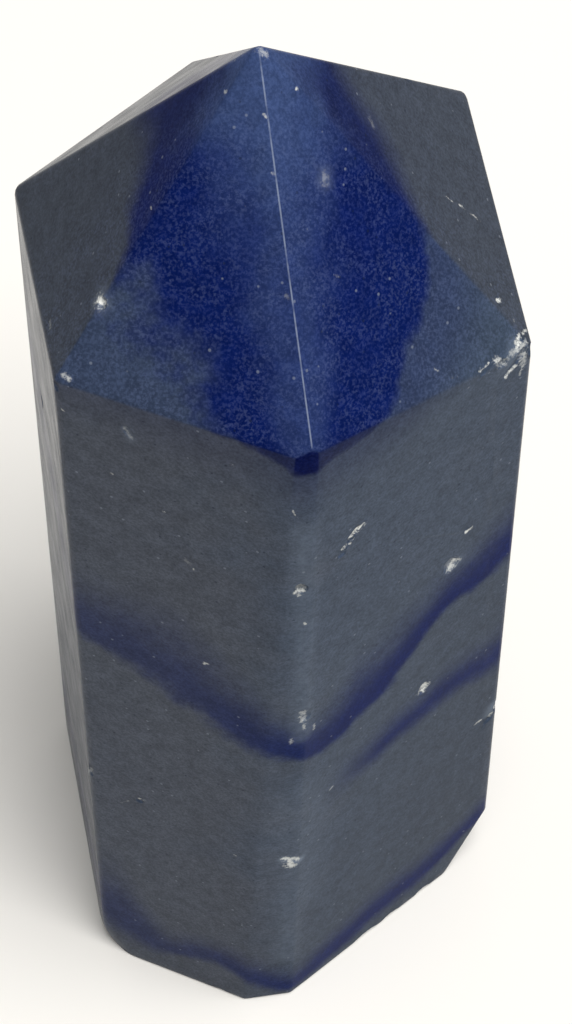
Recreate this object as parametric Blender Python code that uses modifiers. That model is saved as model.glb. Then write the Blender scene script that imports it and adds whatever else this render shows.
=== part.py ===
"""A polished dumortierite point, standing on its sawn foot.

One stone, ground to an irregular six-sided prism under a six-facet tip. The front upright edge is
ground off, one foot corner is worn round, another is broken away, and small shell-shaped chips
lie along the edges and on the polished sides. The origin is the middle of the foot.
"""

import math

import bmesh
import bpy
from mathutils import Matrix, Vector, noise

MM = 0.001
STONE_NAME = "dumortierite_point"

# The upright edges, anticlockwise from above. Each has a shoulder corner, where the prism ends and
# the tip begins: its azimuth in degrees, its distance from the axis and its height, both in mm.
EDGES = ("front", "right", "back_right", "back_left", "left", "front_left")
SHOULDER = {
    "front": (-82.2, 14.45, 65.7),
    "right": (-17.2, 14.4, 61.4),
    "back_right": (42.5, 14.05, 65.7),
    "back_left": (106.9, 15.35, 62.1),
    "left": (156.6, 15.35, 61.4),
    "front_left": (-140.2, 14.25, 64.9),
}

# How far each side spreads towards the foot, in degrees. A side is named by the edge it starts from.
SIDE_LEAN = {
    "front": -0.3,
    "right": 1.3,
    "back_right": 0.7,
    "back_left": 0.7,
    "left": 0.6,
    "front_left": 1.6,
}
TIP = Vector((-0.65, 0.0, 80.1)) * MM

# The two front facets don't quite meet over the front edge: one is ground this much lower there,
# the other this much higher, and the ridge between them comes down to the right of the edge.
RIDGE_STEP = 0.2 * MM

BLANK_RADIUS = 19.0 * MM
BLANK_HEIGHT = 82.0 * MM
ON_PLANE = 0.0001 * MM
WELD = 0.01 * MM

# The flat ground along the front upright edge widens downwards.
FRONT_FLAT_DEPTH_AT_SHOULDER = 0.35 * MM
FRONT_FLAT_DEPTH_AT_FOOT = 0.95 * MM

# Foot corners taken off by a slanting plane: how far it runs up the upright edge, and how far
# along the foot on each side of the corner.
WORN_CORNER = ("front_left", 2.7 * MM, 1.6 * MM, 1.5 * MM)
BROKEN_CORNER = ("right", 5.8 * MM, 3.7 * MM, 2.8 * MM)

# Widths of the rounding along each kind of edge.
ROUND_UPRIGHT = 0.34 * MM
ROUND_SHOULDER = 0.24 * MM
ROUND_TIP_EDGE = 0.22 * MM
ROUND_FRONT_TIP_EDGE = 0.07 * MM
ROUND_FRONT_FLAT = 0.20 * MM
ROUND_FOOT = 0.22 * MM
ROUND_WORN_CORNER = 0.80 * MM
ROUND_SEGMENTS = 3
NEAR_CORNER = 2.0 * MM
UPRIGHT = 0.95

# Chips on the prism: the side's first edge, the share of the way across it, the height, the
# width, the length up the side, the depth and the turn in degrees. Lengths are in mm.
SIDE_CHIPS = (
    ("right", 0.00, 61.0, 1.4, 1.5, 0.32, 20),
    ("front", 0.93, 61.2, 0.7, 2.6, 0.22, -48),
    ("front", 0.86, 61.9, 0.8, 0.8, 0.20, 0),
    ("front", 0.78, 62.4, 1.0, 0.5, 0.14, 30),
    ("front", 0.21, 55.0, 0.6, 2.3, 0.17, -38),
    ("front", 0.18, 54.2, 0.7, 0.7, 0.12, 10),
    ("front", 0.70, 44.2, 1.3, 1.6, 0.22, 0),
    ("front", 0.76, 46.9, 0.5, 0.6, 0.10, 0),
    ("front", 0.62, 31.2, 0.8, 1.4, 0.18, -10),
    ("right", 0.00, 20.6, 1.0, 2.0, 0.30, 0),
    ("front", 0.96, 19.9, 1.0, 1.2, 0.16, -30),
    ("front", 0.02, 52.9, 0.7, 0.9, 0.62, 0),
    ("front", 0.07, 38.6, 0.9, 0.9, 0.18, 0),
    ("front", 0.05, 20.5, 1.6, 1.7, 0.26, 0),
    ("front_left", 0.00, 64.4, 0.8, 1.1, 0.24, 0),
    ("front_left", 0.00, 24.7, 0.9, 1.9, 0.26, 0),
    ("front_left", 0.29, 62.7, 0.6, 1.3, 0.10, 25),
    ("front_left", 0.26, 23.2, 0.6, 0.7, 0.10, 0),
    ("left", 0.00, 33.0, 1.1, 2.1, 0.30, 0),
    ("back_left", 0.00, 47.5, 0.9, 1.8, 0.26, 0),
    ("back_right", 0.55, 27.0, 1.0, 1.3, 0.18, 25),
    ("left", 0.40, 50.0, 0.8, 1.0, 0.15, -20),
)

# Chips along the foot: the side's first edge, the share of the way along, the width, the height
# and the depth. The back ones are the longest, where the saw broke out of the stone.
FOOT_CHIPS = (
    ("front", 0.44, 2.8, 1.3, 0.42),
    ("front", 0.56, 2.0, 1.2, 0.36),
    ("front", 0.71, 1.8, 1.3, 0.40),
    ("right", 0.34, 2.2, 1.3, 0.45),
    ("back_right", 0.35, 3.4, 2.2, 0.70),
    ("back_right", 0.52, 1.6, 1.0, 0.35),
    ("back_left", 0.70, 1.9, 1.2, 0.40),
    ("left", 0.55, 2.4, 1.4, 0.45),
    ("front_left", 0.70, 1.5, 0.8, 0.24),
)

# Chips on the tip: the facet's first edge, the share of the way across it, the share of the way
# up to the point, the width, the length and the depth.
TIP_CHIPS = (
    ("front_left", 0.00, 0.240, 0.9, 0.9, 0.24),
    ("right", 0.05, 0.125, 0.5, 0.6, 0.12),
    ("back_left", 0.00, 0.45, 0.8, 1.1, 0.24),
    ("back_right", 0.00, 0.30, 0.7, 0.9, 0.20),
)
CHIP_ON_EDGE = 0.01

# A chip's surface: how finely it is modelled, how uneven it is against its depth, how long the
# unevenness is against its width, and the first seed of each kind of chip.
BITE_SUBDIVISIONS = 3
BITE_UNEVENNESS = 0.16
BITE_WAVE = 0.45
SIDE_SEED = 0
FOOT_SEED = 40
TIP_SEED = 70

STONE_COLOUR = (0.055, 0.068, 0.115, 1.0)
STONE_ROUGHNESS = 0.28


def clear_scene():
    """Remove whatever objects the file opened with."""
    for old in list(bpy.data.objects):
        bpy.data.objects.remove(old, do_unlink=True)


def next_edge(name):
    """The upright edge that follows this one, anticlockwise from above."""
    return EDGES[(EDGES.index(name) + 1) % len(EDGES)]


def last_edge(name):
    """The upright edge before this one."""
    return EDGES[EDGES.index(name) - 1]


def shoulder_corner(name):
    """Where an upright edge meets the tip."""
    azimuth, reach, height = SHOULDER[name]
    turn = math.radians(azimuth)
    return Vector((reach * math.cos(turn), reach * math.sin(turn), height)) * MM


def side_normal(name):
    """Outward direction of the side that starts at an upright edge."""
    along = shoulder_corner(next_edge(name)) - shoulder_corner(name)
    lean = math.radians(SIDE_LEAN[name])
    level_run = math.hypot(along.x, along.y)
    heading = math.atan2(along.y, along.x)
    off_square = math.acos(-math.tan(lean) * along.z / level_run)
    azimuth = heading - off_square
    return Vector((math.cos(azimuth) * math.cos(lean), math.sin(azimuth) * math.cos(lean), math.sin(lean)))


def foot_corner(name):
    """Where an upright edge reaches the foot: both of its sides and the foot meet there."""
    near, far = side_normal(last_edge(name)), side_normal(name)
    corner = shoulder_corner(name)
    near_offset, far_offset = near.dot(corner), far.dot(corner)
    spread = near.x * far.y - near.y * far.x
    x = (near_offset * far.y - far_offset * near.y) / spread
    y = (near.x * far_offset - far.x * near_offset) / spread
    return Vector((x, y, 0.0))


def edge_point(name, height):
    """The point of an upright edge at a height."""
    foot, shoulder = foot_corner(name), shoulder_corner(name)
    return foot.lerp(shoulder, height / shoulder.z)


def side_point(name, across, height):
    """A point of a side, by the share of the way across it and its height."""
    return edge_point(name, height).lerp(edge_point(next_edge(name), height), across)


def facet_corners(name):
    """The two shoulder corners that a facet of the tip runs down to."""
    first, second = shoulder_corner(name), shoulder_corner(next_edge(name))
    if name == "front":
        first.z += RIDGE_STEP
    if next_edge(name) == "front":
        second.z -= RIDGE_STEP
    return first, second


def facet_normal(name):
    """Outward direction of the tip's facet over a side."""
    first, second = facet_corners(name)
    return (second - first).cross(TIP - first).normalized()


def facet_point(name, across, up):
    """A point of a facet, by the shares of the way across it and up to the point."""
    first, second = facet_corners(name)
    return first.lerp(second, across).lerp(TIP, up)


def edge_outward(name):
    """The level direction that points straight out of an upright edge."""
    outward = side_normal(last_edge(name)) + side_normal(name)
    return Vector((outward.x, outward.y, 0.0)).normalized()


def blank():
    """The sawn rod that the stone is ground from."""
    shape = bmesh.new()
    bmesh.ops.create_cone(
        shape, cap_ends=True, segments=24, radius1=BLANK_RADIUS, radius2=BLANK_RADIUS, depth=BLANK_HEIGHT
    )
    bmesh.ops.translate(shape, verts=shape.verts[:], vec=(0.0, 0.0, BLANK_HEIGHT / 2.0))
    return shape


def grind_flat(shape, point, outward):
    """Take off everything beyond a plane, and close the stone with the new flat."""
    every = shape.verts[:] + shape.edges[:] + shape.faces[:]
    bmesh.ops.bisect_plane(
        shape, geom=every, dist=ON_PLANE, plane_co=point, plane_no=outward, clear_outer=True
    )
    rim = [edge for edge in shape.edges if edge.is_boundary]
    bmesh.ops.edgeloop_fill(shape, edges=rim)


def grind_sides(shape):
    """The six sides of the prism."""
    for name in EDGES:
        grind_flat(shape, shoulder_corner(name), side_normal(name))


def grind_tip(shape):
    """The six facets, which meet at the point."""
    for name in EDGES:
        grind_flat(shape, TIP, facet_normal(name))
    bmesh.ops.remove_doubles(shape, verts=shape.verts[:], dist=WELD)


def grind_front_edge(shape):
    """The narrow flat down the front upright edge."""
    outward = edge_outward("front")
    top = shoulder_corner("front") - outward * FRONT_FLAT_DEPTH_AT_SHOULDER
    bottom = foot_corner("front") - outward * FRONT_FLAT_DEPTH_AT_FOOT
    across = Vector((-outward.y, outward.x, 0.0))
    grind_flat(shape, top, across.cross(top - bottom).normalized())


def take_foot_corner(shape, corner):
    """Take off one corner of the foot with a slanting plane."""
    name, rise, run_back, run_on = corner
    foot = foot_corner(name)
    up = edge_point(name, rise)
    back = foot + (foot_corner(last_edge(name)) - foot).normalized() * run_back
    onward = foot + (foot_corner(next_edge(name)) - foot).normalized() * run_on
    outward = (onward - up).cross(back - up).normalized()
    if outward.dot(foot - up) < 0.0:
        outward.negate()
    grind_flat(shape, up, outward)


def near(place, other, reach):
    """Whether two places are within a distance."""
    return (place - other).length < reach


def edge_rounding(edge):
    """The rounding width of one edge of the ground stone, from where it runs."""
    low, high = sorted((vert.co for vert in edge.verts), key=lambda place: place.z)
    worn_name, worn_rise = WORN_CORNER[:2]
    front = shoulder_corner("front")
    if high.z < WELD:
        return ROUND_FOOT
    if near(high, edge_point(worn_name, worn_rise), WELD) and low.z < WELD:
        return ROUND_WORN_CORNER
    if near(high, TIP, WELD):
        return ROUND_FRONT_TIP_EDGE if near(low, front, NEAR_CORNER) else ROUND_TIP_EDGE
    if (high - low).normalized().z < UPRIGHT:
        return ROUND_SHOULDER
    return ROUND_FRONT_FLAT if near(high, front, NEAR_CORNER) else ROUND_UPRIGHT


def mark_roundings(shape):
    """Write each edge's share of the widest rounding where the Bevel modifier reads it."""
    widest = ROUND_WORN_CORNER
    weight = shape.edges.layers.float.new("bevel_weight_edge")
    for edge in shape.edges:
        edge[weight] = edge_rounding(edge) / widest
    return widest


def stone_material():
    """Grey-blue polished quartz rock."""
    material = bpy.data.materials.new("polished_dumortierite_quartz")
    material.use_nodes = True
    shader = material.node_tree.nodes["Principled BSDF"]
    shader.inputs["Base Color"].default_value = STONE_COLOUR
    shader.inputs["Roughness"].default_value = STONE_ROUGHNESS
    shader.inputs["Metallic"].default_value = 0.0
    return material


def bite(place, outward, up, width, length, depth, seed):
    """The tool body of one chip: a ball whose cap bites a shallow, slightly uneven dish.

    The ball's cap is as wide and as deep as the chip, and it is stretched along the length.
    """
    half = width / 2.0
    radius = (half * half + depth * depth) / (2.0 * depth)
    shape = bmesh.new()
    bmesh.ops.create_icosphere(shape, subdivisions=BITE_SUBDIVISIONS, radius=radius)
    offset = Vector((seed * 7.31, seed * 3.17, seed * 5.53))
    for vert in shape.verts:
        swell = noise.noise(vert.co / (BITE_WAVE * width) + offset)
        vert.co += vert.co.normalized() * swell * BITE_UNEVENNESS * depth
        vert.co.y *= length / width
    side = up.cross(outward).normalized()
    frame = Matrix((side, outward.cross(side).normalized(), outward)).transposed().to_4x4()
    shape.transform(Matrix.Translation(place + outward * (radius - depth)) @ frame)
    return shape


def turned_up(outward, turn):
    """The direction up a surface, turned about its outward direction by some degrees."""
    level = Vector((0.0, 0.0, 1.0)).cross(outward).normalized()
    up = outward.cross(level)
    return Matrix.Rotation(math.radians(turn), 3, outward) @ up


def side_bites():
    """The chips on the prism."""
    for seed, (name, across, height, width, length, depth, turn) in enumerate(SIDE_CHIPS, SIDE_SEED):
        outward = edge_outward(name) if across < CHIP_ON_EDGE else side_normal(name)
        place = side_point(name, across, height * MM)
        yield bite(place, outward, turned_up(outward, turn), width * MM, length * MM, depth * MM, seed)


def foot_bites():
    """The chips along the edge of the foot."""
    for seed, (name, along, width, height, depth) in enumerate(FOOT_CHIPS, FOOT_SEED):
        outward = (side_normal(name) - Vector((0.0, 0.0, 1.0))).normalized()
        place = side_point(name, along, 0.0)
        slant = height * math.sqrt(2.0)
        yield bite(place, outward, turned_up(outward, 0.0), width * MM, slant * MM, depth * MM, seed)


def tip_bites():
    """The chips on the facets of the tip."""
    for seed, (name, across, up_share, width, length, depth) in enumerate(TIP_CHIPS, TIP_SEED):
        outward = facet_normal(name)
        if across < CHIP_ON_EDGE:
            outward = (outward + facet_normal(last_edge(name))).normalized()
        place = facet_point(name, across, up_share)
        yield bite(place, outward, turned_up(outward, 0.0), width * MM, length * MM, depth * MM, seed)


def new_object(name, shape, collection):
    """Make an object from a bmesh, in a collection."""
    mesh = bpy.data.meshes.new(name)
    shape.to_mesh(mesh)
    shape.free()
    made = bpy.data.objects.new(name, mesh)
    collection.objects.link(made)
    return made


def new_collection(name):
    """Make a collection under the scene."""
    made = bpy.data.collections.new(name)
    bpy.context.scene.collection.children.link(made)
    return made


def add_bites(collection):
    """One hidden tool body for each chip."""
    tools = []
    for group in (side_bites(), foot_bites(), tip_bites()):
        for shape in group:
            tool = new_object(f"bite_{len(tools) + 1:02d}", shape, collection)
            tool.hide_render = True
            tool.display_type = "WIRE"
            tools.append(tool)
    return tools


def add_modifiers(stone, widest, bites):
    """Round the edges, then take the chips."""
    rounding = stone.modifiers.new("worn_edges", "BEVEL")
    rounding.limit_method = "WEIGHT"
    rounding.offset_type = "OFFSET"
    rounding.width = widest
    rounding.segments = ROUND_SEGMENTS
    rounding.use_clamp_overlap = True
    chipping = stone.modifiers.new("chips", "BOOLEAN")
    chipping.operation = "DIFFERENCE"
    chipping.solver = "EXACT"
    chipping.operand_type = "COLLECTION"
    chipping.collection = bites


def centre_on_foot(stone, tools):
    """Move the stone and its tool bodies so that the origin is the middle of the foot's box."""
    bpy.context.view_layer.update()
    finished = stone.evaluated_get(bpy.context.evaluated_depsgraph_get())
    places = [vert.co for vert in finished.data.vertices]
    middle_x = (min(p.x for p in places) + max(p.x for p in places)) / 2.0
    middle_y = (min(p.y for p in places) + max(p.y for p in places)) / 2.0
    for thing in [stone, *tools]:
        thing.location = (-middle_x, -middle_y, 0.0)


def main():
    clear_scene()
    parts = new_collection("dumortierite")
    bites = new_collection("chip_tools")

    shape = blank()
    grind_sides(shape)
    grind_tip(shape)
    grind_front_edge(shape)
    take_foot_corner(shape, WORN_CORNER)
    take_foot_corner(shape, BROKEN_CORNER)
    bmesh.ops.recalc_face_normals(shape, faces=shape.faces[:])
    widest = mark_roundings(shape)

    stone = new_object(STONE_NAME, shape, parts)
    stone.data.materials.append(stone_material())
    tools = add_bites(bites)
    add_modifiers(stone, widest, bites)
    centre_on_foot(stone, tools)


main()
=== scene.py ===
"""The looks of a polished dumortierite point: blue and grey quartz rock in dipping layers.

The stone's mesh is the solid of the frame, sliced fine enough to carry its colour layers, crushed
white marks and wear, along with a painted highlight on the front ridge and painted reflection
streaks down the front flat. A place on the stone is named by the pixel of the photograph where it
shows, and is turned into a point of the stone through the camera below.
"""

import math

import bmesh
import bpy
import numpy as np
from mathutils import Matrix, Vector, noise
from mathutils.bvhtree import BVHTree
from mathutils.geometry import delaunay_2d_cdt, intersect_line_plane


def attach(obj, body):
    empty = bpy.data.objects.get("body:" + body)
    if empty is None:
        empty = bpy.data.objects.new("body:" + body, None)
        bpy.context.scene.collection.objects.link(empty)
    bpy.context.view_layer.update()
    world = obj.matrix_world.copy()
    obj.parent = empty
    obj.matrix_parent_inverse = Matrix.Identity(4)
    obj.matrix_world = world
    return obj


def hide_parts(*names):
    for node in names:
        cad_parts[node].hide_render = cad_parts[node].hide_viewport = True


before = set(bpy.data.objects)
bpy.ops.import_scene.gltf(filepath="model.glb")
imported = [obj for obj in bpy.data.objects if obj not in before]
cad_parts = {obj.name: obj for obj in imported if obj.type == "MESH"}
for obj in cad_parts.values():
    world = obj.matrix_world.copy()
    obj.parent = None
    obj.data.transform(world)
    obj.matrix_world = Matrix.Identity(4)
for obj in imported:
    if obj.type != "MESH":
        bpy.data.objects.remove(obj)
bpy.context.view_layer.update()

MM = 0.001
NODE = "dumortierite_point"

# The photograph's size in pixels, and the camera that took it.
PHOTO_WIDTH = 572
PHOTO_HEIGHT = 1024
SENSOR_MM = 36.0
LENS_MM = 105.0
CAMERA_ELEVATION = math.radians(57.51)
CAMERA_ROLL = math.radians(0.464)
CAMERA_DISTANCE = 179.21 * MM
CAMERA_TARGET = Vector((0.888, 0.172, 37.642)) * MM
CAMERA_CLIP = (0.01, 20.0)

# The stone's cells: their longest edge, then the distance between their rows and their least
# distance from a flat's rim as shares of it.
CELL = 0.75 * MM
ROW_SHARE = 0.87
RIM_SHARE = 0.5

# Beside a mark, to so many times its half width, the cells are halved until they are this small,
# in so many passes at most.
FINE_CELL = 0.11 * MM
MARK_SURROUNDS = 1.7
MOST_PASSES = 4

# Faces that turn less than the flat angle are one flat, and edges that turn more are sharp.
FLAT_ANGLE = math.radians(0.2)
SHARP_ANGLE = math.radians(28.0)
FLAT_FACE_WEIGHT = 80
WELD = 0.001 * MM
SAME_POINT = 1e-9
LEAST_RISE = 1e-12

# The colour layers. Each edge of a layer is traced across the faces that the photograph shows, and
# climbs away from there at so many millimetres for each millimetre to the right and to the back.
CAP_EDGE = (
    (165, 92), (148, 140), (137, 190), (129, 238), (134, 262), (150, 282), (136, 304), (150, 330),
    (182, 345), (208, 348), (210, 372), (200, 398), (203, 426), (250, 448), (287, 469), (303, 479),
    (318, 470), (350, 447), (385, 420), (402, 380), (416, 335), (431, 290), (427, 240), (400, 178),
    (370, 120), (338, 70),
)
CAP_CLIMB = (0.0, 0.45)
MIDDLE_TOP = (
    (82, 585), (120, 598), (150, 608), (178, 625), (205, 650), (235, 682), (265, 712), (300, 728),
    (330, 708), (360, 668), (400, 628), (440, 583), (470, 556), (500, 524),
)
MIDDLE_FOOT = (
    (82, 634), (110, 651), (140, 669), (168, 692), (200, 715), (240, 742), (275, 757), (300, 760),
    (335, 742), (360, 718), (400, 672), (440, 616), (470, 592), (500, 566),
)
MIDDLE_CLIMB = (-0.10, 0.55)
FAINT_TOP = ((497, 634), (470, 652), (440, 677), (400, 712), (360, 747), (335, 768))
FAINT_FOOT = ((497, 664), (470, 680), (440, 703), (400, 736), (360, 772), (335, 796))
FAINT_CLIMB = (0.10, 0.65)
FAINT_FROM = (318, 800)
FAINT_FADE_MM = 4.5
LOW_TOP = (
    (110, 868), (130, 885), (150, 915), (180, 936), (215, 943), (238, 954), (265, 966), (300, 965),
    (330, 936), (380, 892), (430, 850), (470, 812),
)
LOW_FOOT = (
    (120, 932), (145, 948), (180, 955), (215, 963), (238, 976), (265, 988), (298, 984),
    (330, 957), (380, 912), (430, 870), (470, 828),
)
LOW_CLIMB = (-0.02, 0.22)

# How far from its trace a layer still bends with it, how loosely it follows, and its least thickness.
LAYER_REACH_MM = 2.2
LAYER_SLACK = 0.01
THINNEST_LAYER_MM = 0.6

# The paler cloud inside the cap runs down the front ridge and narrows on the way.
CLOUD_TOP = (262, 50)
CLOUD_BOTTOM = (309, 436)
CLOUD_TOP_MM = 7.0
CLOUD_BOTTOM_MM = 2.4

# The front ridge is where the two facets that show at these places would meet.
LEFT_OF_RIDGE = (230, 250)
RIGHT_OF_RIDGE = (340, 250)

# White marks where the polish is crushed: the two ends in the photograph, the half width in
# millimetres, how white it is and how deep in millimetres.
MARKS = (
    # The tip's left edge and the left corner of the shoulder.
    ((100, 300), (101, 302), 0.34, 1.00, 0.10),
    ((62, 374), (68, 380), 0.13, 0.58, 0.06),
    # The scratch on the tip's right facet, and the bruised right corner of the shoulder.
    ((445, 196), (462, 207), 0.040, 0.55, 0.03),
    ((460, 206), (480, 220), 0.060, 0.72, 0.03),
    ((498, 299), (500, 301), 0.136, 1.00, 0.06),
    ((514, 320), (515, 321), 0.085, 0.72, 0.05),
    ((518, 338), (518, 346), 0.17, 1.00, 0.10),
    ((521, 333), (527, 330), 0.102, 0.72, 0.08),
    ((480, 371), (489, 363), 0.0765, 0.78, 0.05),
    ((496, 360), (503, 364), 0.187, 0.65, 0.09),
    ((506, 376), (520, 362), 0.119, 0.85, 0.08),
    ((515, 352), (525, 344), 0.20, 0.55, 0.05),
    ((504, 360), (512, 351), 0.15, 0.35, 0.04),
    ((524, 354), (523, 366), 0.20, 0.45, 0.04),
    ((521, 374), (524, 352), 0.119, 0.59, 0.06),
    ((436, 370), (438, 371), 0.068, 0.46, 0.04),
    ((453, 377), (457, 377), 0.068, 0.46, 0.04),
    # The right side of the prism, the front flat, and the right edge.
    ((343, 549), (349, 544), 0.0765, 0.72, 0.05),
    ((350, 536), (362, 526), 0.21, 1.00, 0.07),
    ((450, 567), (455, 561), 0.289, 0.78, 0.09),
    ((460, 560), (461, 559), 0.111, 0.46, 0.05),
    ((467, 531), (471, 528), 0.102, 0.85, 0.05),
    ((296, 591), (303, 590), 0.12, 0.85, 0.04),
    ((300, 585), (304, 586), 0.15, 0.36, 0.0),
    ((299, 585), (298, 596), 0.10, 0.85, 0.04),
    ((305, 623), (306, 624), 0.085, 0.65, 0.04),
    ((421, 691), (426, 684), 0.221, 0.93, 0.08),
    ((490, 714), (494, 706), 0.238, 0.65, 0.10),
    ((475, 724), (481, 720), 0.111, 0.59, 0.05),
    ((303, 713), (303, 720), 0.19, 0.46, 0.05),
    ((305, 725), (305, 729), 0.12, 0.42, 0.04),
    ((314, 725), (314, 729), 0.11, 0.38, 0.04),
    ((292, 739), (292, 743), 0.12, 0.36, 0.04),
    # The left side of the prism, and down to the foot.
    ((203, 663), (208, 664), 0.0935, 0.65, 0.04),
    ((125, 428), (131, 438), 0.128, 0.25, 0.03),
    ((62, 410), (63, 411), 0.085, 0.46, 0.03),
    ((67, 545), (67, 547), 0.085, 0.35, 0.03),
    ((164, 512), (165, 513), 0.0595, 0.59, 0.03),
    ((192, 568), (193, 569), 0.0595, 0.59, 0.03),
    ((186, 561), (188, 563), 0.153, 0.12, 0.02),
    ((137, 465), (138, 467), 0.051, 0.41, 0.03),
    ((111, 473), (113, 474), 0.0595, 0.30, 0.03),
    ((232, 465), (235, 467), 0.0765, 0.25, 0.03),
    ((293, 510), (298, 519), 0.051, 0.41, 0.03),
    ((285, 859), (297, 859), 0.27, 0.80, 0.09),
    ((290, 861), (291, 866), 0.29, 0.80, 0.09),
    ((88, 772), (91, 769), 0.221, 0.30, 0.08),
    ((138, 798), (146, 801), 0.0765, 0.59, 0.04),
    ((122, 803), (128, 801), 0.068, 0.21, 0.03),
    ((330, 790), (332, 787), 0.102, 0.35, 0.04),
    ((234, 855), (236, 856), 0.0765, 0.25, 0.03),
    # Small ones scattered over the tip.
    ((325, 176), (325, 180), 0.221, 0.16, 0.02),
    ((225, 91), (226, 93), 0.085, 0.46, 0.03),
    ((297, 88), (297, 89), 0.0935, 0.78, 0.04),
    ((371, 120), (373, 125), 0.17, 0.12, 0.02),
    ((50, 322), (50, 328), 0.145, 0.21, 0.03),
    ((151, 206), (152, 208), 0.0595, 0.41, 0.03),
    ((243, 207), (244, 207), 0.068, 0.46, 0.03),
    ((262, 49), (265, 52), 0.255, 0.41, 0.03),
    ((287, 296), (288, 298), 0.128, 0.14, 0.02),
    ((265, 114), (266, 117), 0.0765, 0.59, 0.02),
    ((272, 171), (273, 173), 0.0765, 0.46, 0.02),
    ((377, 171), (378, 172), 0.0595, 0.35, 0.02),
    ((334, 276), (340, 277), 0.0595, 0.21, 0.02),
)

# A mark fades out at so many half widths, and wavers from side to side on its way. The seed makes
# it waver in the same way each run.
MARK_REACH = 2.0
MARK_WAVER_MM = 0.7
MARK_WAVER_DEPTH_MM = 0.14
MARK_WAVER_SEED = 1795641168

# Its hollow is deepest within the edge share of the half width, and ragged there with the grain's
# noise. It sinks by a share of the mark's depth, which varies with that noise from the least up.
MARK_EDGE_SHARE = 0.35
MARK_RAGGED = 0.45
MARK_SINK = 0.35
HOLLOW_LEAST = 0.6
HOLLOW_UNEVEN = 0.8
CRUSH_GRAIN_MM = 0.16

# Soft pale smudges round the crushed marks, and pale streaks of painted reflection down the front
# flat and low on the front: the two ends in the photograph, the half width in millimetres and the
# strength.
SMUDGES_AND_REFLECTIONS = (
    # Painted reflection: these three pale streaks down the front flat and low on the front.
    ((306, 530), (303, 735), 0.62, 0.22),
    ((292, 860), (286, 955), 0.80, 0.20),
    ((300, 800), (300, 900), 1.80, 0.15),
    # Pale halos round the crushed marks.
    ((325, 176), (325, 180), 0.45, 0.22),
    ((128, 430), (130, 438), 0.35, 0.18),
    ((100, 300), (101, 301), 0.55, 0.40),
    ((515, 346), (506, 368), 0.48, 0.26),
    ((450, 565), (458, 562), 0.45, 0.30),
    ((285, 860), (298, 860), 0.42, 0.75),
    ((489, 713), (491, 707), 0.45, 0.45),
    ((304, 720), (300, 738), 0.50, 0.25),
)

# A smudge, like a painted reflection streak, fades out at so many half widths. One that is wide
# enough needs no finer cells.
SMUDGE_AND_REFLECTION_REACH = 2.0
WIDE_SMUDGE_AND_REFLECTION_MM = 1.0

# The shallow waves that hand polishing leaves.
POLISH_WAVE_MM = 7.0
POLISH_WAVE_DEPTH = 0.02 * MM

# Rock colours. The grey quartz has one on the left and one on the right below the shoulder, and in
# the tip one in front and one behind. The cap is deep in front, behind and below the shoulder.
GREY_GREEN = (0.078, 0.090, 0.117)
GREY_BLUE = (0.065, 0.085, 0.124)
GREY_FRONT = (0.047, 0.067, 0.105)
GREY_BEHIND = (0.049, 0.060, 0.083)
DEEP_BLUE = (0.0030, 0.0105, 0.0900)
DEEP_BEHIND = (0.0055, 0.0120, 0.0700)
DEEP_ON_SIDES = (0.0004, 0.0040, 0.0560)
BAND_BLUE = (0.0030, 0.0110, 0.0860)
CLOUD_BLUE = (0.042, 0.070, 0.176)
# The front ridge's pale line is wear, and also a painted highlight along the ridge.
RIDGE_WEAR_AND_HIGHLIGHT = (0.27, 0.32, 0.44)
SMUDGE_AND_REFLECTION_PALE = (0.20, 0.25, 0.33)
CRUSHED_WHITE = (0.78, 0.80, 0.78)
SPECK_WHITE = (0.30, 0.34, 0.42)
SPECK_DARK = (0.012, 0.018, 0.035)
GRAIN_PALE = (0.105, 0.135, 0.250)

# Below, a climb is the span of what it reads, and the values at the span's low and high ends where
# these aren't 0 and 1. A noise is the size of its lumps in millimetres, and how it differs from a
# plain one: its amount where it swings about zero, and an offset that keeps it apart from others.

# Where a face starts to count as the tip's, stops counting as a front one, and lies between the
# sides of the narrow front flat, by the parts of its direction along Z, Y and X.
TIP_FROM_Z = (0.15, 0.40)
FRONT_UNTIL_Y = (-0.40, -0.15)
FLAT_FROM_X = (-0.25, -0.05)
FLAT_UNTIL_X = (0.35, 0.55)
FLAT_UNTIL_Y = (-0.90, -0.75)

# The cap's edge is softer behind. Its halo fades out below it, is weaker low down, to the back and
# to the left, and is stronger on the front flat.
CAP_WAVES = {"size_mm": 2.2, "amount": 0.35}
CAP_RIPPLES = {"size_mm": 0.7, "amount": 0.25, "offset": (5.0, 0.0, 0.0)}
CAP_SHIFT_MM = 0.1
CAP_SOFT_MM = 0.50
CAP_SOFTER_BEHIND_MM = 1.15
CAP_BEHIND_Y = (-4.0, 0.0)
CAP_ON_SIDES = 0.80
HALO_BELOW_MM = (-6.0, 0.0, 0.0, 0.29)
HALO_BEHIND = 0.15
HALO_BY_HEIGHT = (58.0, 65.0, 0.4, 1.0)
HALO_ACROSS = (-2.0, 7.0, 0.90, 1.45)
HALO_ON_FLAT = 1.35
DEEP_BEHIND_Y = (-3.5, 0.0)

# Each lower layer: how soft its foot is, as a share of its thickness, and how strong it is. Above
# its foot it is a core and a haze, which fade out at different heights.
BAND_WAVES = {"size_mm": 3.0, "amount": 0.22, "offset": (0.0, 7.0, 0.0)}
BAND_RIPPLES = {"size_mm": 0.8, "amount": 0.10}
MIDDLE_BAND = (0.16, 1.0)
FAINT_BAND = (0.35, 0.95)
LOW_BAND = (0.22, 1.0)
BAND_CORE = (0.25, 0.95, 0.45, 0.0)
BAND_HAZE = (0.45, 1.45, 0.55, 0.0)
BANDS_ACROSS = (-7.0, 6.0, 0.60, 1.0)

# The grey rock turns bluer from left to right, and darker down towards the right of the foot.
TINT_ACROSS = (-6.0, 6.0)
TINT_DRIFT = {"size_mm": 5.0, "amount": 0.6, "detail": 4.0}
DARKER_TO_RIGHT = -2.5
DARKER_DOWN = (-25.0, 35.0, 0.78, 1.0)

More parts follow.
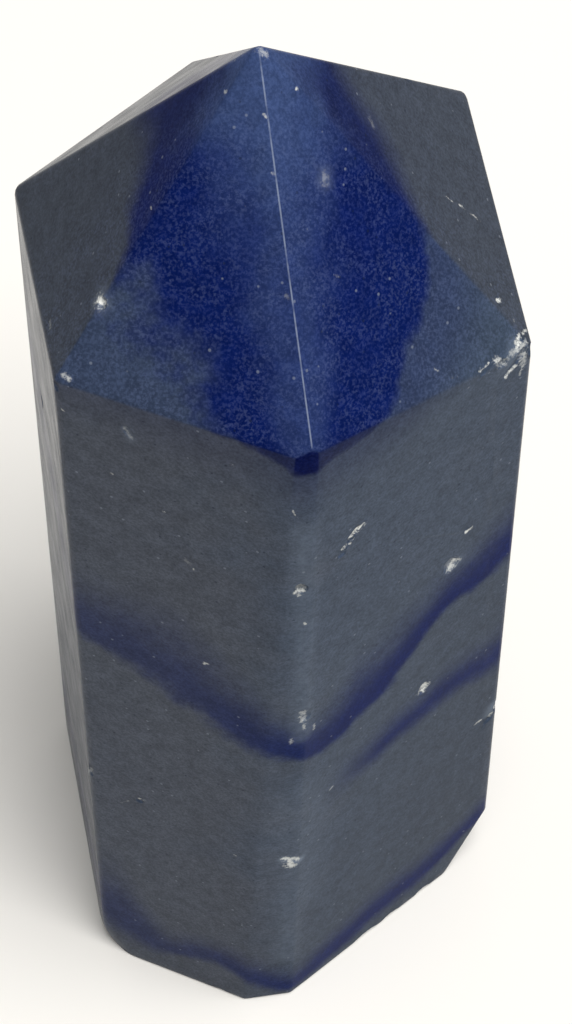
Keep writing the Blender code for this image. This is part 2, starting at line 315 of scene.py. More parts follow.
# The cloud breaks up into wisps at its sides, keeps off the cap's edge and thins out downwards.
CLOUD_WISPS = {"size_mm": 3.2, "amount": 0.60, "detail": 5.0, "offset": (3.0, 1.0, 0.0)}
CLOUD_DENSITY = (0.05, 0.85)
CLOUD_OFF_CAP_EDGE_MM = (0.0, 1.5)
CLOUD_BY_HEIGHT = (71.5, 79.0, 0.42, 0.93)

# The quartz: a soft mottle, then grains that are part fibre and part crystal. They change the rock's
# brightness everywhere, and turn pale in patches, mostly on the front of the tip.
MOTTLE = {"size_mm": 1.0, "detail": 4.0, "rough": 0.7, "offset": (0.0, 0.0, 9.0)}
MOTTLE_BRIGHTNESS = (0.3, 0.7, 0.87, 1.13)
FIBRES = {"size_mm": 0.17, "detail": 3.0, "rough": 0.75, "offset": (2.0, 0.0, 4.0)}
FIBRE_SHARE = (0.36, 0.66, 0.0, 0.62)
CRYSTAL_MM = 0.14
CRYSTAL_SHARE = 0.38
GRAIN_BRIGHTNESS = (0.05, 0.85, 0.84, 1.16)
GRAIN_PALENESS = (0.30, 1.0, 0.0, 0.23)
GRAIN_ON_SIDES = 0.15
GRAIN_BACKWARDS = (-4.0, 1.0, 1.0, 0.3)
GRAIN_PATCHES = {"size_mm": 1.8, "detail": 3.0, "offset": (7.0, 0.0, 0.0)}
GRAIN_BY_PATCH = (0.3, 0.7, 0.5, 1.35)

# Scattered dots: the size of the cells that hold one each, its radius in cells, and how many have one.
DARK_DOTS = {"size_mm": 0.70, "radius": 0.14, "chance": 0.42, "offset": (1.0, 0.0, 0.0)}
DARK_DOT_STRENGTH = 0.45
PALE_DOTS = {"size_mm": 0.60, "radius": 0.17, "chance": 0.12, "offset": (0.0, 4.0, 2.0)}
PALE_DOT_STRENGTH = 0.32
DOT_CORE = 0.6

# What breaks up the smudges and the painted reflection streaks, the crushed marks, the worn line of
# the ridge with its painted highlight, and the chips' floors.
SMUDGE_AND_REFLECTION_PATCHES = {"size_mm": 0.5, "detail": 4.0}
SMUDGE_AND_REFLECTION_BY_PATCH = (0.3, 0.7, 0.7, 1.2)
CRUSH_BREAKS = {"size_mm": 0.24, "detail": 5.0, "rough": 0.75}
CRUSH_BROKEN = (0.36, 0.64)
CRUSH_BY_NEARNESS = 1.35
CRUSH_BY_BREAKS = 0.9
CRUSH_SPAN = (0.85, 1.85)
RIDGE_BREAKS = {"size_mm": 0.9, "detail": 3.0, "offset": (0.0, 2.0, 6.0)}
RIDGE_BROKEN = (0.25, 0.6, 0.25, 1.0)
RIDGE_BY_MM = (0.035, 0.065, 0.60, 0.0)
CHIP_GRAIN = {"size_mm": 0.2, "detail": 3.0, "offset": (6.0, 6.0, 0.0)}
CHIP_BROKEN = (0.35, 0.6, 0.35, 1.0)
CHIP_BY_DEPTH_MM = (0.10, 0.38, 0.0, 0.42)

# The polish. A pale floor in a full gloss would veil the blue, so the gloss is weak.
QUARTZ_IOR = 1.55
QUARTZ_GLOSS = 0.008
SMEARS = {"size_mm": 2.5, "detail": 4.0, "offset": (8.0, 0.0, 3.0)}
SMEAR_ROUGHNESS = (0.3, 0.7, 0.18, 0.26)
CRUSH_ROUGHNESS = 0.35
FINE_RELIEF = {"size_mm": 0.16}
COARSE_RELIEF = {"size_mm": 0.6}
COARSE_RELIEF_SHARE = 1.5
RELIEF_STRENGTH = 0.25
RELIEF_DEPTH = 0.008 * MM

# The floor lies a little below the stone's foot, so that the two don't share a plane.
FLOOR_COLOUR = (0.92, 0.91, 0.885)
FLOOR_RADIUS = 4.0
FLOOR_SIDES = 96
FLOOR_ROUGHNESS = 0.9
FLOOR_GLOSS = 0.08
FLOOR_DROP = 0.02 * MM

# The dome's brightness climbs with the height above the horizon. The panel lies high on the right.
SKY_COLOUR = (1.0, 0.985, 0.96)
SKY_BY_HEIGHT = (0.35, 0.85, 0.06, 0.58)
PANEL_PLACE = (0.24, -0.20, 1.0)
PANEL_SIZE = 0.64
PANEL_POWER = 10.0
PANEL_COLOUR = (1.0, 0.98, 0.95)


def camera_axes():
    """The camera's right, up and back directions."""
    back = Vector((0.0, -math.cos(CAMERA_ELEVATION), math.sin(CAMERA_ELEVATION)))
    level = Vector((1.0, 0.0, 0.0))
    turn = Matrix.Rotation(CAMERA_ROLL, 3, back)
    right = turn @ level
    return right, back.cross(right), back


def add_camera():
    """The photograph's camera."""
    right, up, back = camera_axes()
    data = bpy.data.cameras.new("photo_camera")
    data.sensor_width = SENSOR_MM
    data.lens = LENS_MM
    data.clip_start, data.clip_end = CAMERA_CLIP
    camera = bpy.data.objects.new("photo_camera", data)
    bpy.context.scene.collection.objects.link(camera)
    facing = Matrix((right, up, back)).transposed().to_4x4()
    camera.matrix_world = Matrix.Translation(CAMERA_TARGET + back * CAMERA_DISTANCE) @ facing
    bpy.context.scene.camera = camera


def sight_line(pixel):
    """The camera's place and the direction in which it sees a pixel of the photograph."""
    right, up, back = camera_axes()
    pixels_per_lens = LENS_MM / SENSOR_MM * PHOTO_HEIGHT
    across = (pixel[0] - PHOTO_WIDTH / 2.0) / pixels_per_lens
    above = (PHOTO_HEIGHT / 2.0 - pixel[1]) / pixels_per_lens
    return CAMERA_TARGET + back * CAMERA_DISTANCE, (right * across + up * above - back).normalized()


def solid_tree():
    """The frame's solid, for finding where a line of sight meets it."""
    shape = bmesh.new()
    shape.from_mesh(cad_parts[NODE].data)
    tree = BVHTree.FromBMesh(shape)
    shape.free()
    return tree


def on_stone(pixel):
    """The point of the stone that a pixel of the photograph shows."""
    place = STONE_TREE.ray_cast(*sight_line(pixel))[0]
    if place is None:
        raise ValueError(f"pixel {pixel} lies off the stone")
    return place


def whole_faces():
    """The solid's surface, with each of its flat faces whole again."""
    shape = bmesh.new()
    shape.from_mesh(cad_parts[NODE].data)
    bmesh.ops.remove_doubles(shape, verts=shape.verts[:], dist=WELD)
    bmesh.ops.dissolve_limit(shape, angle_limit=FLAT_ANGLE, verts=shape.verts[:], edges=shape.edges[:])
    return shape


def split_long_edges(shape):
    """Put points along the long edges, and leave the faces whole."""
    for edge in shape.edges[:]:
        near = edge.verts[0]
        far = edge.verts[1]
        for pieces in range(math.ceil(edge.calc_length() / CELL), 1, -1):
            other, near = bmesh.utils.edge_split(edge, near, 1.0 / pieces)
            edge = other if far in other.verts else edge


def staggered_points(rim):
    """Evenly staggered points inside a flat outline, clear of its rim. Both are in the flat's plane."""
    low, high = rim.min(axis=0), rim.max(axis=0)
    columns = np.arange(low[0], high[0], CELL)
    rows = np.arange(low[1], high[1], CELL * ROW_SHARE)
    across, up = np.meshgrid(columns, rows)
    across[1::2] += CELL / 2.0
    points = np.stack((across.ravel(), up.ravel()), axis=1)
    following = np.roll(rim, -1, axis=0)
    run = following - rim
    run[:, 1] += np.where(run[:, 1] == 0.0, LEAST_RISE, 0.0)
    above = points[:, None, 1] - rim[None, :, 1]
    spans = (rim[:, 1] > points[:, None, 1]) != (following[:, 1] > points[:, None, 1])
    left_of = points[:, None, 0] < rim[:, 0] + above * run[:, 0] / run[:, 1]
    inside = (spans & left_of).sum(axis=1) % 2 == 1
    along = run / (run * run).sum(axis=1)[:, None]
    offset = points[:, None] - rim
    share = np.clip((offset * along).sum(axis=2), 0.0, 1.0)
    gap = np.linalg.norm(offset - share[:, :, None] * run, axis=2).min(axis=1)
    return points[inside & (gap > CELL * RIM_SHARE)]


def fill_flat(shape, face):
    """Replace a flat face by small, even triangles."""
    rim_verts = face.verts[:]
    origin = rim_verts[0].co.copy()
    side = (face.verts[1].co - origin).normalized()
    up = face.normal.cross(side)
    rim = np.array([((vert.co - origin).dot(side), (vert.co - origin).dot(up)) for vert in rim_verts])
    inner = staggered_points(rim)
    flat_points = [Vector(point) for point in (*rim, *inner)]
    count = len(rim)
    outline = [(index, (index + 1) % count) for index in range(count)]
    _, _, triangles, origins, _, _ = delaunay_2d_cdt(flat_points, outline, [], 1, SAME_POINT)
    verts = rim_verts + [shape.verts.new(origin + side * point[0] + up * point[1]) for point in inner]
    shape.faces.remove(face)
    for triangle in triangles:
        shape.faces.new([verts[origins[corner][0]] for corner in triangle])


def cut_edges(shape, choose):
    """Halve the edges that a test picks by their middles and lengths, pass after pass."""
    for _ in range(MOST_PASSES):
        ends = np.array([(edge.verts[0].co, edge.verts[1].co) for edge in shape.edges])
        length = np.linalg.norm(ends[:, 0] - ends[:, 1], axis=1)
        picked = choose(ends.mean(axis=1), length)
        if not picked.any():
            return
        chosen = [edge for edge, cut in zip(shape.edges, picked) if cut]
        bmesh.ops.subdivide_edges(shape, edges=chosen, cuts=1, use_grid_fill=True)
        bmesh.ops.triangulate(shape, faces=[face for face in shape.faces if len(face.verts) > 3])


def fine_cells(segments):
    """The stone's surface in small triangles, smaller still around the marks."""
    shape = whole_faces()
    split_long_edges(shape)
    for face in [face for face in shape.faces if len(face.verts) > 4]:
        fill_flat(shape, face)
    bmesh.ops.triangulate(shape, faces=[face for face in shape.faces if len(face.verts) > 3])

    def beside_mark(middle, length):
        close = np.zeros(len(length), bool)
        for start, end, half_width, _, _ in segments:
            close |= segment_distance(middle, start, end) < half_width * MARK_SURROUNDS + length / 2.0
        return close & (length > FINE_CELL)

    cut_edges(shape, beside_mark)
    return shape


def supporting_planes():
    """The planes of the ground faces and rounded edges: the chips alone lie inside them."""
    shape = whole_faces()
    places = np.array([vert.co for vert in shape.verts])
    planes = []
    for face in shape.faces:
        outward = np.array(face.normal)
        offset = outward @ np.array(face.calc_center_median())
        if (places @ outward).max() - offset < 2.0 * WELD:
            planes.append((*outward, offset))
    shape.free()
    return np.array(planes)


def depth_in_chips(places, planes):
    """How far below the ground faces each place lies, in metres."""
    depth = np.full(len(places), np.inf)
    for *outward, offset in planes:
        depth = np.minimum(depth, offset - places @ np.array(outward))
    return np.maximum(depth, 0.0)


def segment_distance(places, start, end):
    """Distance of each place from a line segment."""
    start, end = np.array(start), np.array(end)
    along = end - start
    square = max(along @ along, SAME_POINT**2)
    share = np.clip((places - start) @ along / square, 0.0, 1.0)
    return np.linalg.norm(places - start - share[:, None] * along, axis=1)


def ridge_distance(places):
    """Distance of each place from the line where the tip's two front facets would meet."""
    (left, left_normal), (right, right_normal) = (
        STONE_TREE.ray_cast(*sight_line(pixel))[:2] for pixel in (LEFT_OF_RIDGE, RIGHT_OF_RIDGE)
    )
    along = left_normal.cross(right_normal).normalized()
    start = intersect_line_plane(left, left + left_normal.cross(along), right, right_normal)
    offset = places - np.array(start)
    return np.linalg.norm(offset - np.outer(offset @ np.array(along), np.array(along)), axis=1)


def mark_segments():
    """The marks with their ends as points of the stone, in metres."""
    for start, end, half_width, white, depth in MARKS:
        yield on_stone(start), on_stone(end), half_width * MM, white, depth * MM


def layer_surface(trace, climb):
    """The height of a layer's edge over the plan: a tilted plane bent to pass through its trace.

    Everything is in millimetres. Away from the trace it is the plane alone.
    """
    points = np.array([on_stone(pixel) for pixel in trace]) / MM
    plan, height = points[:, :2], points[:, 2]
    climb = np.array(climb)
    level = (height - plan @ climb).mean()
    gaps = np.linalg.norm(plan[:, None] - plan[None], axis=2)
    closeness = np.exp(-((gaps / LAYER_REACH_MM) ** 2) / 2.0) + LAYER_SLACK * np.eye(len(plan))
    bends = np.linalg.solve(closeness, height - plan @ climb - level)

    def height_over(where):
        away = np.linalg.norm(where[:, None] - plan[None], axis=2)
        return level + where @ climb + np.exp(-((away / LAYER_REACH_MM) ** 2) / 2.0) @ bends

    return height_over


def share_through(places_mm, top_trace, foot_trace, climb):
    """How far up through a layer each place lies: 0 at its foot and 1 at its top."""
    top = layer_surface(top_trace, climb)(places_mm[:, :2])
    foot = layer_surface(foot_trace, climb)(places_mm[:, :2])
    return (places_mm[:, 2] - foot) / np.maximum(top - foot, THINNEST_LAYER_MM)


def cloud_share(places_mm):
    """How far inside the pale cloud each place lies: 1 on the ridge and 0 at the cloud's edge."""
    top, bottom = np.array(on_stone(CLOUD_TOP)) / MM, np.array(on_stone(CLOUD_BOTTOM)) / MM
    along = bottom - top
    share = np.clip((places_mm - top) @ along / (along @ along), 0.0, 1.0)
    away = np.linalg.norm(places_mm - top - share[:, None] * along, axis=1)
    return 1.0 - away / (CLOUD_TOP_MM + (CLOUD_BOTTOM_MM - CLOUD_TOP_MM) * share)


def mark_mask(places, segments):
    """How near a mark each place is, how white that mark is, and how deep it goes there, in metres.

    The nearness is 1 on a mark's middle line and 0 where the mark has faded out.
    """
    noise.seed_set(MARK_WAVER_SEED)
    ragged = np.array([noise.noise(Vector(place) / (CRUSH_GRAIN_MM * MM)) for place in places])
    waver = np.array([noise.noise_vector(Vector(place) / (MARK_WAVER_MM * MM)) for place in places])
    wavering = places + waver * MARK_WAVER_DEPTH_MM * MM
    near = np.zeros(len(places))
    white = np.zeros(len(places))
    depth = np.zeros(len(places))
    for start, end, half_width, whiteness, deepest in segments:
        reach = segment_distance(wavering, start, end) / half_width
        closeness = np.clip(1.0 - reach / MARK_REACH, 0.0, 1.0)
        white = np.where(closeness > near, whiteness, white)
        near = np.maximum(near, closeness)
        inside = 1.0 - smooth_step(reach + MARK_RAGGED * ragged, MARK_EDGE_SHARE, 1.0)
        uneven = HOLLOW_LEAST + HOLLOW_UNEVEN * np.abs(ragged)
        depth = np.maximum(depth, inside * deepest * MARK_SINK * uneven)
    return near, white, depth


def narrow_smudges_and_reflections():
    """The smudges and painted reflection streaks that need finer cells, in the form of marks."""
    for start, end, half_width, _ in SMUDGES_AND_REFLECTIONS:
        if half_width < WIDE_SMUDGE_AND_REFLECTION_MM:
            yield on_stone(start), on_stone(end), half_width * MM, 0.0, 0.0


def smudge_and_reflection_share(places):
    """How pale the soft smudges and the painted reflection streaks make each place."""
    share = np.zeros(len(places))
    for start, end, half_width, strength in SMUDGES_AND_REFLECTIONS:
        reach = segment_distance(places, on_stone(start), on_stone(end)) / (half_width * MM)
        share = np.maximum(share, strength * (1.0 - smooth_step(reach, 0.0, SMUDGE_AND_REFLECTION_REACH)))
    return share


def smooth_step(value, low, high):
    """A smooth climb from 0 at low to 1 at high."""
    share = np.clip((value - low) / (high - low), 0.0, 1.0)
    return share * share * (3.0 - 2.0 * share)


def polish_wave(places):
    """The shallow waves that hand polishing leaves in the faces, in metres."""
    waves = np.array([noise.noise(Vector(place) / (POLISH_WAVE_MM * MM)) for place in places])
    return (0.5 + 0.5 * waves) * POLISH_WAVE_DEPTH


def store(mesh, name, values):
    """Keep a value at each vertex for the material."""
    attribute = mesh.attributes.new(name, "FLOAT", "POINT")
    attribute.data.foreach_set("value", np.asarray(values, np.float32))


def store_layers(mesh, places_mm):
    """Keep where each vertex lies in the colour layers."""
    store(mesh, "cap_mm", places_mm[:, 2] - layer_surface(CAP_EDGE, CAP_CLIMB)(places_mm[:, :2]))
    store(mesh, "middle_share", share_through(places_mm, MIDDLE_TOP, MIDDLE_FOOT, MIDDLE_CLIMB))
    store(mesh, "faint_share", share_through(places_mm, FAINT_TOP, FAINT_FOOT, FAINT_CLIMB))
    faint_from = on_stone(FAINT_FROM).x / MM
    store(mesh, "faint_strength", smooth_step(places_mm[:, 0], faint_from, faint_from + FAINT_FADE_MM))
    store(mesh, "low_share", share_through(places_mm, LOW_TOP, LOW_FOOT, LOW_CLIMB))
    store(mesh, "cloud_share", cloud_share(places_mm))


def build_stone():
    """The stone's fine mesh with its layers and marks."""
    segments = list(mark_segments())
    shape = fine_cells([*segments, *narrow_smudges_and_reflections()])
    bmesh.ops.recalc_face_normals(shape, faces=shape.faces[:])
    shape.normal_update()
    places = np.array([vert.co for vert in shape.verts])
    normals = np.array([vert.normal for vert in shape.verts])
    chip_depth = depth_in_chips(places, supporting_planes())
    near_mark, mark_white, crush_depth = mark_mask(places, segments)
    sunk = polish_wave(places) + crush_depth
    for vert, normal, depth in zip(shape.verts, normals, sunk):
        vert.co -= Vector(normal) * depth

    mesh = bpy.data.meshes.new("stone")
    shape.to_mesh(mesh)
    shape.free()
    for old in list(mesh.attributes):
        if old.name in ("custom_normal", "sharp_face"):
            mesh.attributes.remove(old)
    mesh.shade_smooth()
    mesh.set_sharp_from_angle(angle=SHARP_ANGLE)
    store_layers(mesh, places / MM)
    store(mesh, "ridge_mm", ridge_distance(places) / MM)
    store(mesh, "chip_mm", chip_depth / MM)
    store(mesh, "near_mark", near_mark)
    store(mesh, "mark_white", mark_white)
    # Pale smudges round the marks, and painted reflection streaks on the front.
    store(mesh, "smudge_and_reflection", smudge_and_reflection_share(places))
    return mesh


class Wiring:
    """Short calls that add nodes to a material."""

    def __init__(self, material):
        self.tree = material.node_tree
        self.place_mm = self.millimetres()

    def add(self, kind, values=(), **settings):
        """A node with its settings, and its inputs by place: a number, a colour or a socket."""
        made = self.tree.nodes.new(kind)
        for name, value in settings.items():
            setattr(made, name, value)
        for place, value in dict(values).items():
            if isinstance(value, bpy.types.NodeSocket):
                self.connect(value, made, place)
            else:
                made.inputs[place].default_value = value
        return made

    def connect(self, value, node, place):
        """Join a value to one input of a node."""
        self.tree.links.new(value, node.inputs[place])

    def millimetres(self):
        """The place on the stone, in millimetres."""
        place = self.add("ShaderNodeTexCoord").outputs["Object"]
        scaled = self.add("ShaderNodeVectorMath", {0: place, 3: 1.0 / MM}, operation="SCALE")
        return scaled.outputs[0]

    def moved(self, offset):
        """The place on the stone, shifted so that two noises with one scale differ."""
        return self.add("ShaderNodeVectorMath", {0: self.place_mm, 1: offset}, operation="ADD").outputs[0]

    def noise(self, size_mm, detail=2.0, rough=0.5, offset=(0.0, 0.0, 0.0)):
        """Noise from 0 to 1 with lumps of a size."""
        values = {"Vector": self.moved(offset), "Scale": 1.0 / size_mm}
        values |= {"Detail": detail, "Roughness": rough}
        return self.add("ShaderNodeTexNoise", values).outputs["Fac"]

    def along(self, axis):
        """How far along X, Y or Z the place lies, in millimetres."""
        return self.add("ShaderNodeSeparateXYZ", {0: self.place_mm}).outputs[axis]

    def facing(self, axis, low, high, from_value=0.0, to_value=1.0):
        """A climb between two values as the surface turns towards X, Y or Z."""
        normal = self.add("ShaderNodeTexCoord").outputs["Normal"]
        toward = self.add("ShaderNodeSeparateXYZ", {0: normal}).outputs[axis]
        return self.step(toward, low, high, from_value, to_value)

    def in_tip(self, on_sides=0.0, on_tip=1.0):
        """One value on the upright faces and another on the tip's sloping ones."""
        return self.facing("Z", *TIP_FROM_Z, on_sides, on_tip)

    def value(self, name):
        """A value kept at each vertex."""
        return self.add("ShaderNodeAttribute", attribute_name=name).outputs["Fac"]

    def math(self, operation, first, second):
        """One sum."""
        return self.add("ShaderNodeMath", {0: first, 1: second}, operation=operation).outputs[0]

    def total(self, first, second):
        """Two values added."""
        return self.math("ADD", first, second)

    def product(self, first, *others):
        """Values multiplied together."""
        for other in others:
            first = self.math("MULTIPLY", first, other)
        return first

    def step(self, value, low, high, from_value=0.0, to_value=1.0):
        """A smooth climb between two values."""
        values = {"Value": value, 1: low, 2: high, 3: from_value, 4: to_value}
        return self.add("ShaderNodeMapRange", values, interpolation_type="SMOOTHSTEP").outputs[0]

    def mix(self, share, first, second, blend="MIX"):
        """Two colours mixed."""
        colours = [(*colour, 1.0) if isinstance(colour, tuple) else colour for colour in (first, second)]
        values = {0: share, 6: colours[0], 7: colours[1]}
        return self.add("ShaderNodeMix", values, data_type="RGBA", blend_type=blend).outputs[2]

    def brightened(self, colour, factor):
        """A colour times a factor."""
        grey = self.add("ShaderNodeCombineColor", {0: factor, 1: factor, 2: factor}).outputs[0]
        return self.mix(1.0, colour, grey, "MULTIPLY")

    def swing(self, size_mm, amount, **how):
        """Noise about zero."""
        return self.product(self.math("SUBTRACT", self.noise(size_mm, **how), 0.5), 2.0 * amount)

    def cells(self, size_mm, offset=(0.0, 0.0, 0.0)):
        """Packed cells of a size: how far a place is from its cell's middle, and a draw for each cell."""
        packed = self.add("ShaderNodeTexVoronoi", {"Vector": self.moved(offset), "Scale": 1.0 / size_mm})
        drawn = self.add("ShaderNodeSeparateColor", {0: packed.outputs["Color"]}).outputs[0]
        return packed.outputs["Distance"], drawn


def band(wire, name, warp, soft_foot, strength):
    """One blue layer: sharp at its foot, fading towards its top."""
    share = wire.total(wire.value(name), warp)
    foot = wire.step(share, -soft_foot, soft_foot)
    top = wire.total(wire.step(share, *BAND_CORE), wire.step(share, *BAND_HAZE))
    return wire.product(foot, top, strength)


def bands_share(wire):
    """How blue the lower layers are: weaker on the left than on the right."""
    warp = wire.total(wire.swing(**BAND_WAVES), wire.swing(**BAND_RIPPLES))
    middle = band(wire, "middle_share", warp, *MIDDLE_BAND)
    faint = wire.product(band(wire, "faint_share", warp, *FAINT_BAND), wire.value("faint_strength"))
    low = band(wire, "low_share", warp, *LOW_BAND)
    strongest = wire.math("MAXIMUM", middle, wire.math("MAXIMUM", faint, low))
    return wire.product(strongest, wire.step(wire.along("X"), *BANDS_ACROSS))


def on_front_flat(wire):
    """1 on the narrow flat down the front edge and 0 on the other faces."""
    past_left = wire.facing("X", *FLAT_FROM_X)
    before_right = wire.facing("X", *FLAT_UNTIL_X, 1.0, 0.0)
    return wire.product(past_left, before_right, wire.facing("Y", *FLAT_UNTIL_Y, 1.0, 0.0))


def halo_share(wire, above_edge, flat):
    """How blue the rock is just below the cap."""
    below = wire.step(above_edge, *HALO_BELOW_MM)
    in_front = wire.facing("Y", *FRONT_UNTIL_Y, 1.0, HALO_BEHIND)
    by_height = wire.step(wire.along("Z"), *HALO_BY_HEIGHT)
    across = wire.step(wire.along("X"), *HALO_ACROSS)
    return wire.product(below, in_front, by_height, across, wire.step(flat, 0.0, 1.0, 1.0, HALO_ON_FLAT))


def cap_share(wire):
    """How blue the cap is: 1 in it, less below the shoulder, and a thin halo around it."""
    warp = wire.total(wire.swing(**CAP_WAVES), wire.swing(**CAP_RIPPLES))
    above_edge = wire.total(wire.value("cap_mm"), warp)
    flat = on_front_flat(wire)
    behind = wire.step(wire.along("Y"), *CAP_BEHIND_Y)
    soft = wire.total(CAP_SOFT_MM, wire.product(behind, CAP_SOFTER_BEHIND_MM))
    cap = wire.step(wire.math("DIVIDE", wire.total(above_edge, CAP_SHIFT_MM), soft), -1.0, 1.0)
    full = wire.math("MAXIMUM", wire.in_tip(), flat)
    cap = wire.product(cap, wire.step(full, 0.0, 1.0, CAP_ON_SIDES, 1.0))
    return wire.math("MAXIMUM", cap, halo_share(wire, above_edge, flat))


def grey_rock(wire):
    """The grey quartz of the prism and of the tip."""
    tint = wire.total(wire.step(wire.along("X"), *TINT_ACROSS), wire.swing(**TINT_DRIFT))
    below = wire.mix(wire.step(tint, 0.0, 1.0), GREY_GREEN, GREY_BLUE)
    rise = wire.total(wire.along("Z"), wire.product(wire.along("X"), DARKER_TO_RIGHT))
    below = wire.brightened(below, wire.step(rise, *DARKER_DOWN))
    above = wire.mix(wire.facing("Y", *FRONT_UNTIL_Y), GREY_FRONT, GREY_BEHIND)
    return wire.mix(wire.in_tip(), below, above)


def layered_rock(wire):
    """The grey quartz with its blue layers, and with the pale cloud in the cap."""
    rock = wire.mix(bands_share(wire), grey_rock(wire), BAND_BLUE)
    deep = wire.mix(wire.step(wire.along("Y"), *DEEP_BEHIND_Y), DEEP_BLUE, DEEP_BEHIND)
    deep = wire.mix(wire.in_tip(), DEEP_ON_SIDES, deep)
    rock = wire.mix(cap_share(wire), rock, deep)
    wisps = wire.total(wire.value("cloud_share"), wire.swing(**CLOUD_WISPS))
    off_edge = wire.step(wire.value("cap_mm"), *CLOUD_OFF_CAP_EDGE_MM)
    by_height = wire.step(wire.along("Z"), *CLOUD_BY_HEIGHT)
    cloud = wire.product(wire.step(wisps, *CLOUD_DENSITY), off_edge, by_height, wire.in_tip())
    return wire.mix(cloud, rock, CLOUD_BLUE)


def grained_rock(wire):
    """The layered rock with its mottle, its quartz grains, the soft smudges and the painted reflection
    streaks.
    """
    rock = wire.brightened(layered_rock(wire), wire.step(wire.noise(**MOTTLE), *MOTTLE_BRIGHTNESS))
    fibres = wire.step(wire.noise(**FIBRES), *FIBRE_SHARE)
    crystals = wire.cells(CRYSTAL_MM)[1]
    grain = wire.total(fibres, wire.product(crystals, CRYSTAL_SHARE))
    rock = wire.brightened(rock, wire.step(grain, *GRAIN_BRIGHTNESS))
    shown = wire.product(wire.in_tip(GRAIN_ON_SIDES), wire.step(wire.along("Y"), *GRAIN_BACKWARDS))
    patchy = wire.product(shown, wire.step(wire.noise(**GRAIN_PATCHES), *GRAIN_BY_PATCH))
    rock = wire.mix(wire.product(wire.step(grain, *GRAIN_PALENESS), patchy), rock, GRAIN_PALE)
    # Painted reflection: the pale streaks down the front flat come in here with the smudges round the
    # marks.
    smudge_and_reflection = wire.product(wire.value("smudge_and_reflection"), wire.step(wire.noise(**SMUDGE_AND_REFLECTION_PATCHES), *SMUDGE_AND_REFLECTION_BY_PATCH))
    return wire.mix(smudge_and_reflection, rock, SMUDGE_AND_REFLECTION_PALE)


def dots(wire, size_mm, radius, chance, offset):
    """Scattered dots: the share of each that covers a place."""
    away, drawn = wire.cells(size_mm, offset)
    dot = wire.step(away, radius * DOT_CORE, radius, 1.0, 0.0)
    return wire.product(dot, wire.math("LESS_THAN", drawn, chance))


def dotted_rock(wire):
    """The grained rock with dark and pale dots."""
    dark = wire.product(dots(wire, **DARK_DOTS), DARK_DOT_STRENGTH)
    rock = wire.mix(dark, grained_rock(wire), SPECK_DARK)
    return wire.mix(wire.product(dots(wire, **PALE_DOTS), PALE_DOT_STRENGTH), rock, SPECK_WHITE)


def worn_and_highlighted_ridge(wire):
    """How pale the line down the front ridge is: partly wear and partly a painted highlight."""
    broken = wire.step(wire.noise(**RIDGE_BREAKS), *RIDGE_BROKEN)
    return wire.product(wire.step(wire.value("ridge_mm"), *RIDGE_BY_MM), broken)


def crushed_white(wire):
    """The white of the crushed marks: broken up inside, and fading into single grains outside."""
    broken = wire.step(wire.noise(**CRUSH_BREAKS), *CRUSH_BROKEN)
    by_nearness = wire.product(wire.value("near_mark"), CRUSH_BY_NEARNESS)
    raised = wire.total(by_nearness, wire.product(broken, CRUSH_BY_BREAKS))
    return wire.product(wire.step(raised, *CRUSH_SPAN), wire.value("mark_white"))


def chip_white(wire):
    """The white of the chips' floors."""
    broken = wire.step(wire.noise(**CHIP_GRAIN), *CHIP_BROKEN)
    return wire.product(wire.step(wire.value("chip_mm"), *CHIP_BY_DEPTH_MM), broken)


def polish_relief(wire):
    """The fine grain that the polish leaves, as a turn of the surface."""
    coarse = wire.product(wire.noise(**COARSE_RELIEF), COARSE_RELIEF_SHARE)
    height = wire.total(wire.noise(**FINE_RELIEF), coarse)
    values = {"Strength": RELIEF_STRENGTH, "Distance": RELIEF_DEPTH, "Height": height}
    return wire.add("ShaderNodeBump", values).outputs[0]


def stone_material():
    """Polished quartz rock with crushed white marks."""
    material = bpy.data.materials.new("polished_dumortierite_quartz")
    material.use_nodes = True
    wire = Wiring(material)
    shader = material.node_tree.nodes["Principled BSDF"]
    shader.inputs["Metallic"].default_value = 0.0
    shader.inputs["IOR"].default_value = QUARTZ_IOR
    shader.inputs["Specular IOR Level"].default_value = QUARTZ_GLOSS

    white = wire.math("MAXIMUM", chip_white(wire), crushed_white(wire))
    # Painted highlight: the pale line down the front ridge stands partly for wear and partly for its
    # glint.
    rock = wire.mix(worn_and_highlighted_ridge(wire), dotted_rock(wire), RIDGE_WEAR_AND_HIGHLIGHT)
    smears = wire.step(wire.noise(**SMEARS), *SMEAR_ROUGHNESS)
    wire.connect(wire.mix(white, rock, CRUSHED_WHITE), shader, "Base Color")
    wire.connect(wire.total(smears, wire.product(white, CRUSH_ROUGHNESS)), shader, "Roughness")
    wire.connect(polish_relief(wire), shader, "Normal")
    return material


def add_stone():
    """The stone in place of the frame's solid."""
    stone = bpy.data.objects.new("polished_point", build_stone())
    bpy.context.scene.collection.objects.link(stone)
    stone.data.materials.clear()
    stone.data.materials.append(stone_material())
    even = stone.modifiers.new("flat_faces", "WEIGHTED_NORMAL")
    even.mode = "FACE_AREA"
    even.weight = FLAT_FACE_WEIGHT
    even.keep_sharp = True
    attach(stone, "root")
    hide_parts(NODE)


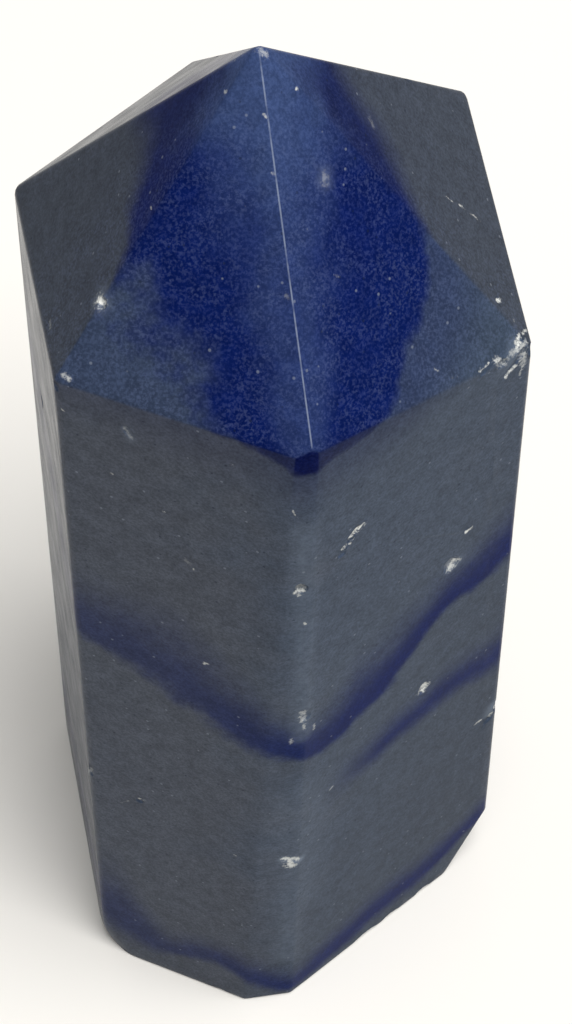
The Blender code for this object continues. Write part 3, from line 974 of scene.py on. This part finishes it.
def add_floor():
    """A wide pale floor."""
    shape = bmesh.new()
    bmesh.ops.create_circle(shape, cap_ends=True, segments=FLOOR_SIDES, radius=FLOOR_RADIUS)
    mesh = bpy.data.meshes.new("floor")
    shape.to_mesh(mesh)
    shape.free()
    material = bpy.data.materials.new("pale_floor")
    material.use_nodes = True
    shader = material.node_tree.nodes["Principled BSDF"]
    shader.inputs["Base Color"].default_value = (*FLOOR_COLOUR, 1.0)
    shader.inputs["Roughness"].default_value = FLOOR_ROUGHNESS
    shader.inputs["Specular IOR Level"].default_value = FLOOR_GLOSS
    mesh.materials.append(material)
    floor = bpy.data.objects.new("floor", mesh)
    bpy.context.scene.collection.objects.link(floor)
    floor.location.z = -FLOOR_DROP


def add_sky():
    """A dome that is bright overhead and dark round the horizon."""
    world = bpy.data.worlds.new("studio_dome")
    bpy.context.scene.world = world
    world.use_nodes = True
    tree = world.node_tree
    background = tree.nodes["Background"]
    direction = tree.nodes.new("ShaderNodeTexCoord").outputs["Generated"]
    split = tree.nodes.new("ShaderNodeSeparateXYZ")
    tree.links.new(direction, split.inputs[0])
    ramp = tree.nodes.new("ShaderNodeMapRange")
    ramp.interpolation_type = "SMOOTHSTEP"
    for place, value in enumerate(SKY_BY_HEIGHT, 1):
        ramp.inputs[place].default_value = value
    tree.links.new(split.outputs["Z"], ramp.inputs["Value"])
    tree.links.new(ramp.outputs[0], background.inputs["Strength"])
    background.inputs["Color"].default_value = (*SKY_COLOUR, 1.0)


def add_panel():
    """A soft round panel of light above, which faces the stone."""
    data = bpy.data.lights.new("top_panel", "AREA")
    data.shape = "DISK"
    data.size = PANEL_SIZE
    data.energy = PANEL_POWER
    data.color = PANEL_COLOUR
    light = bpy.data.objects.new("top_panel", data)
    bpy.context.scene.collection.objects.link(light)
    light.location = PANEL_PLACE
    toward = CAMERA_TARGET - Vector(PANEL_PLACE)
    light.rotation_mode = "QUATERNION"
    light.rotation_quaternion = toward.to_track_quat("-Z", "Y")


STONE_TREE = solid_tree()
add_camera()
add_stone()
add_floor()
add_sky()
add_panel()
bpy.context.scene.view_settings.view_transform = "Standard"
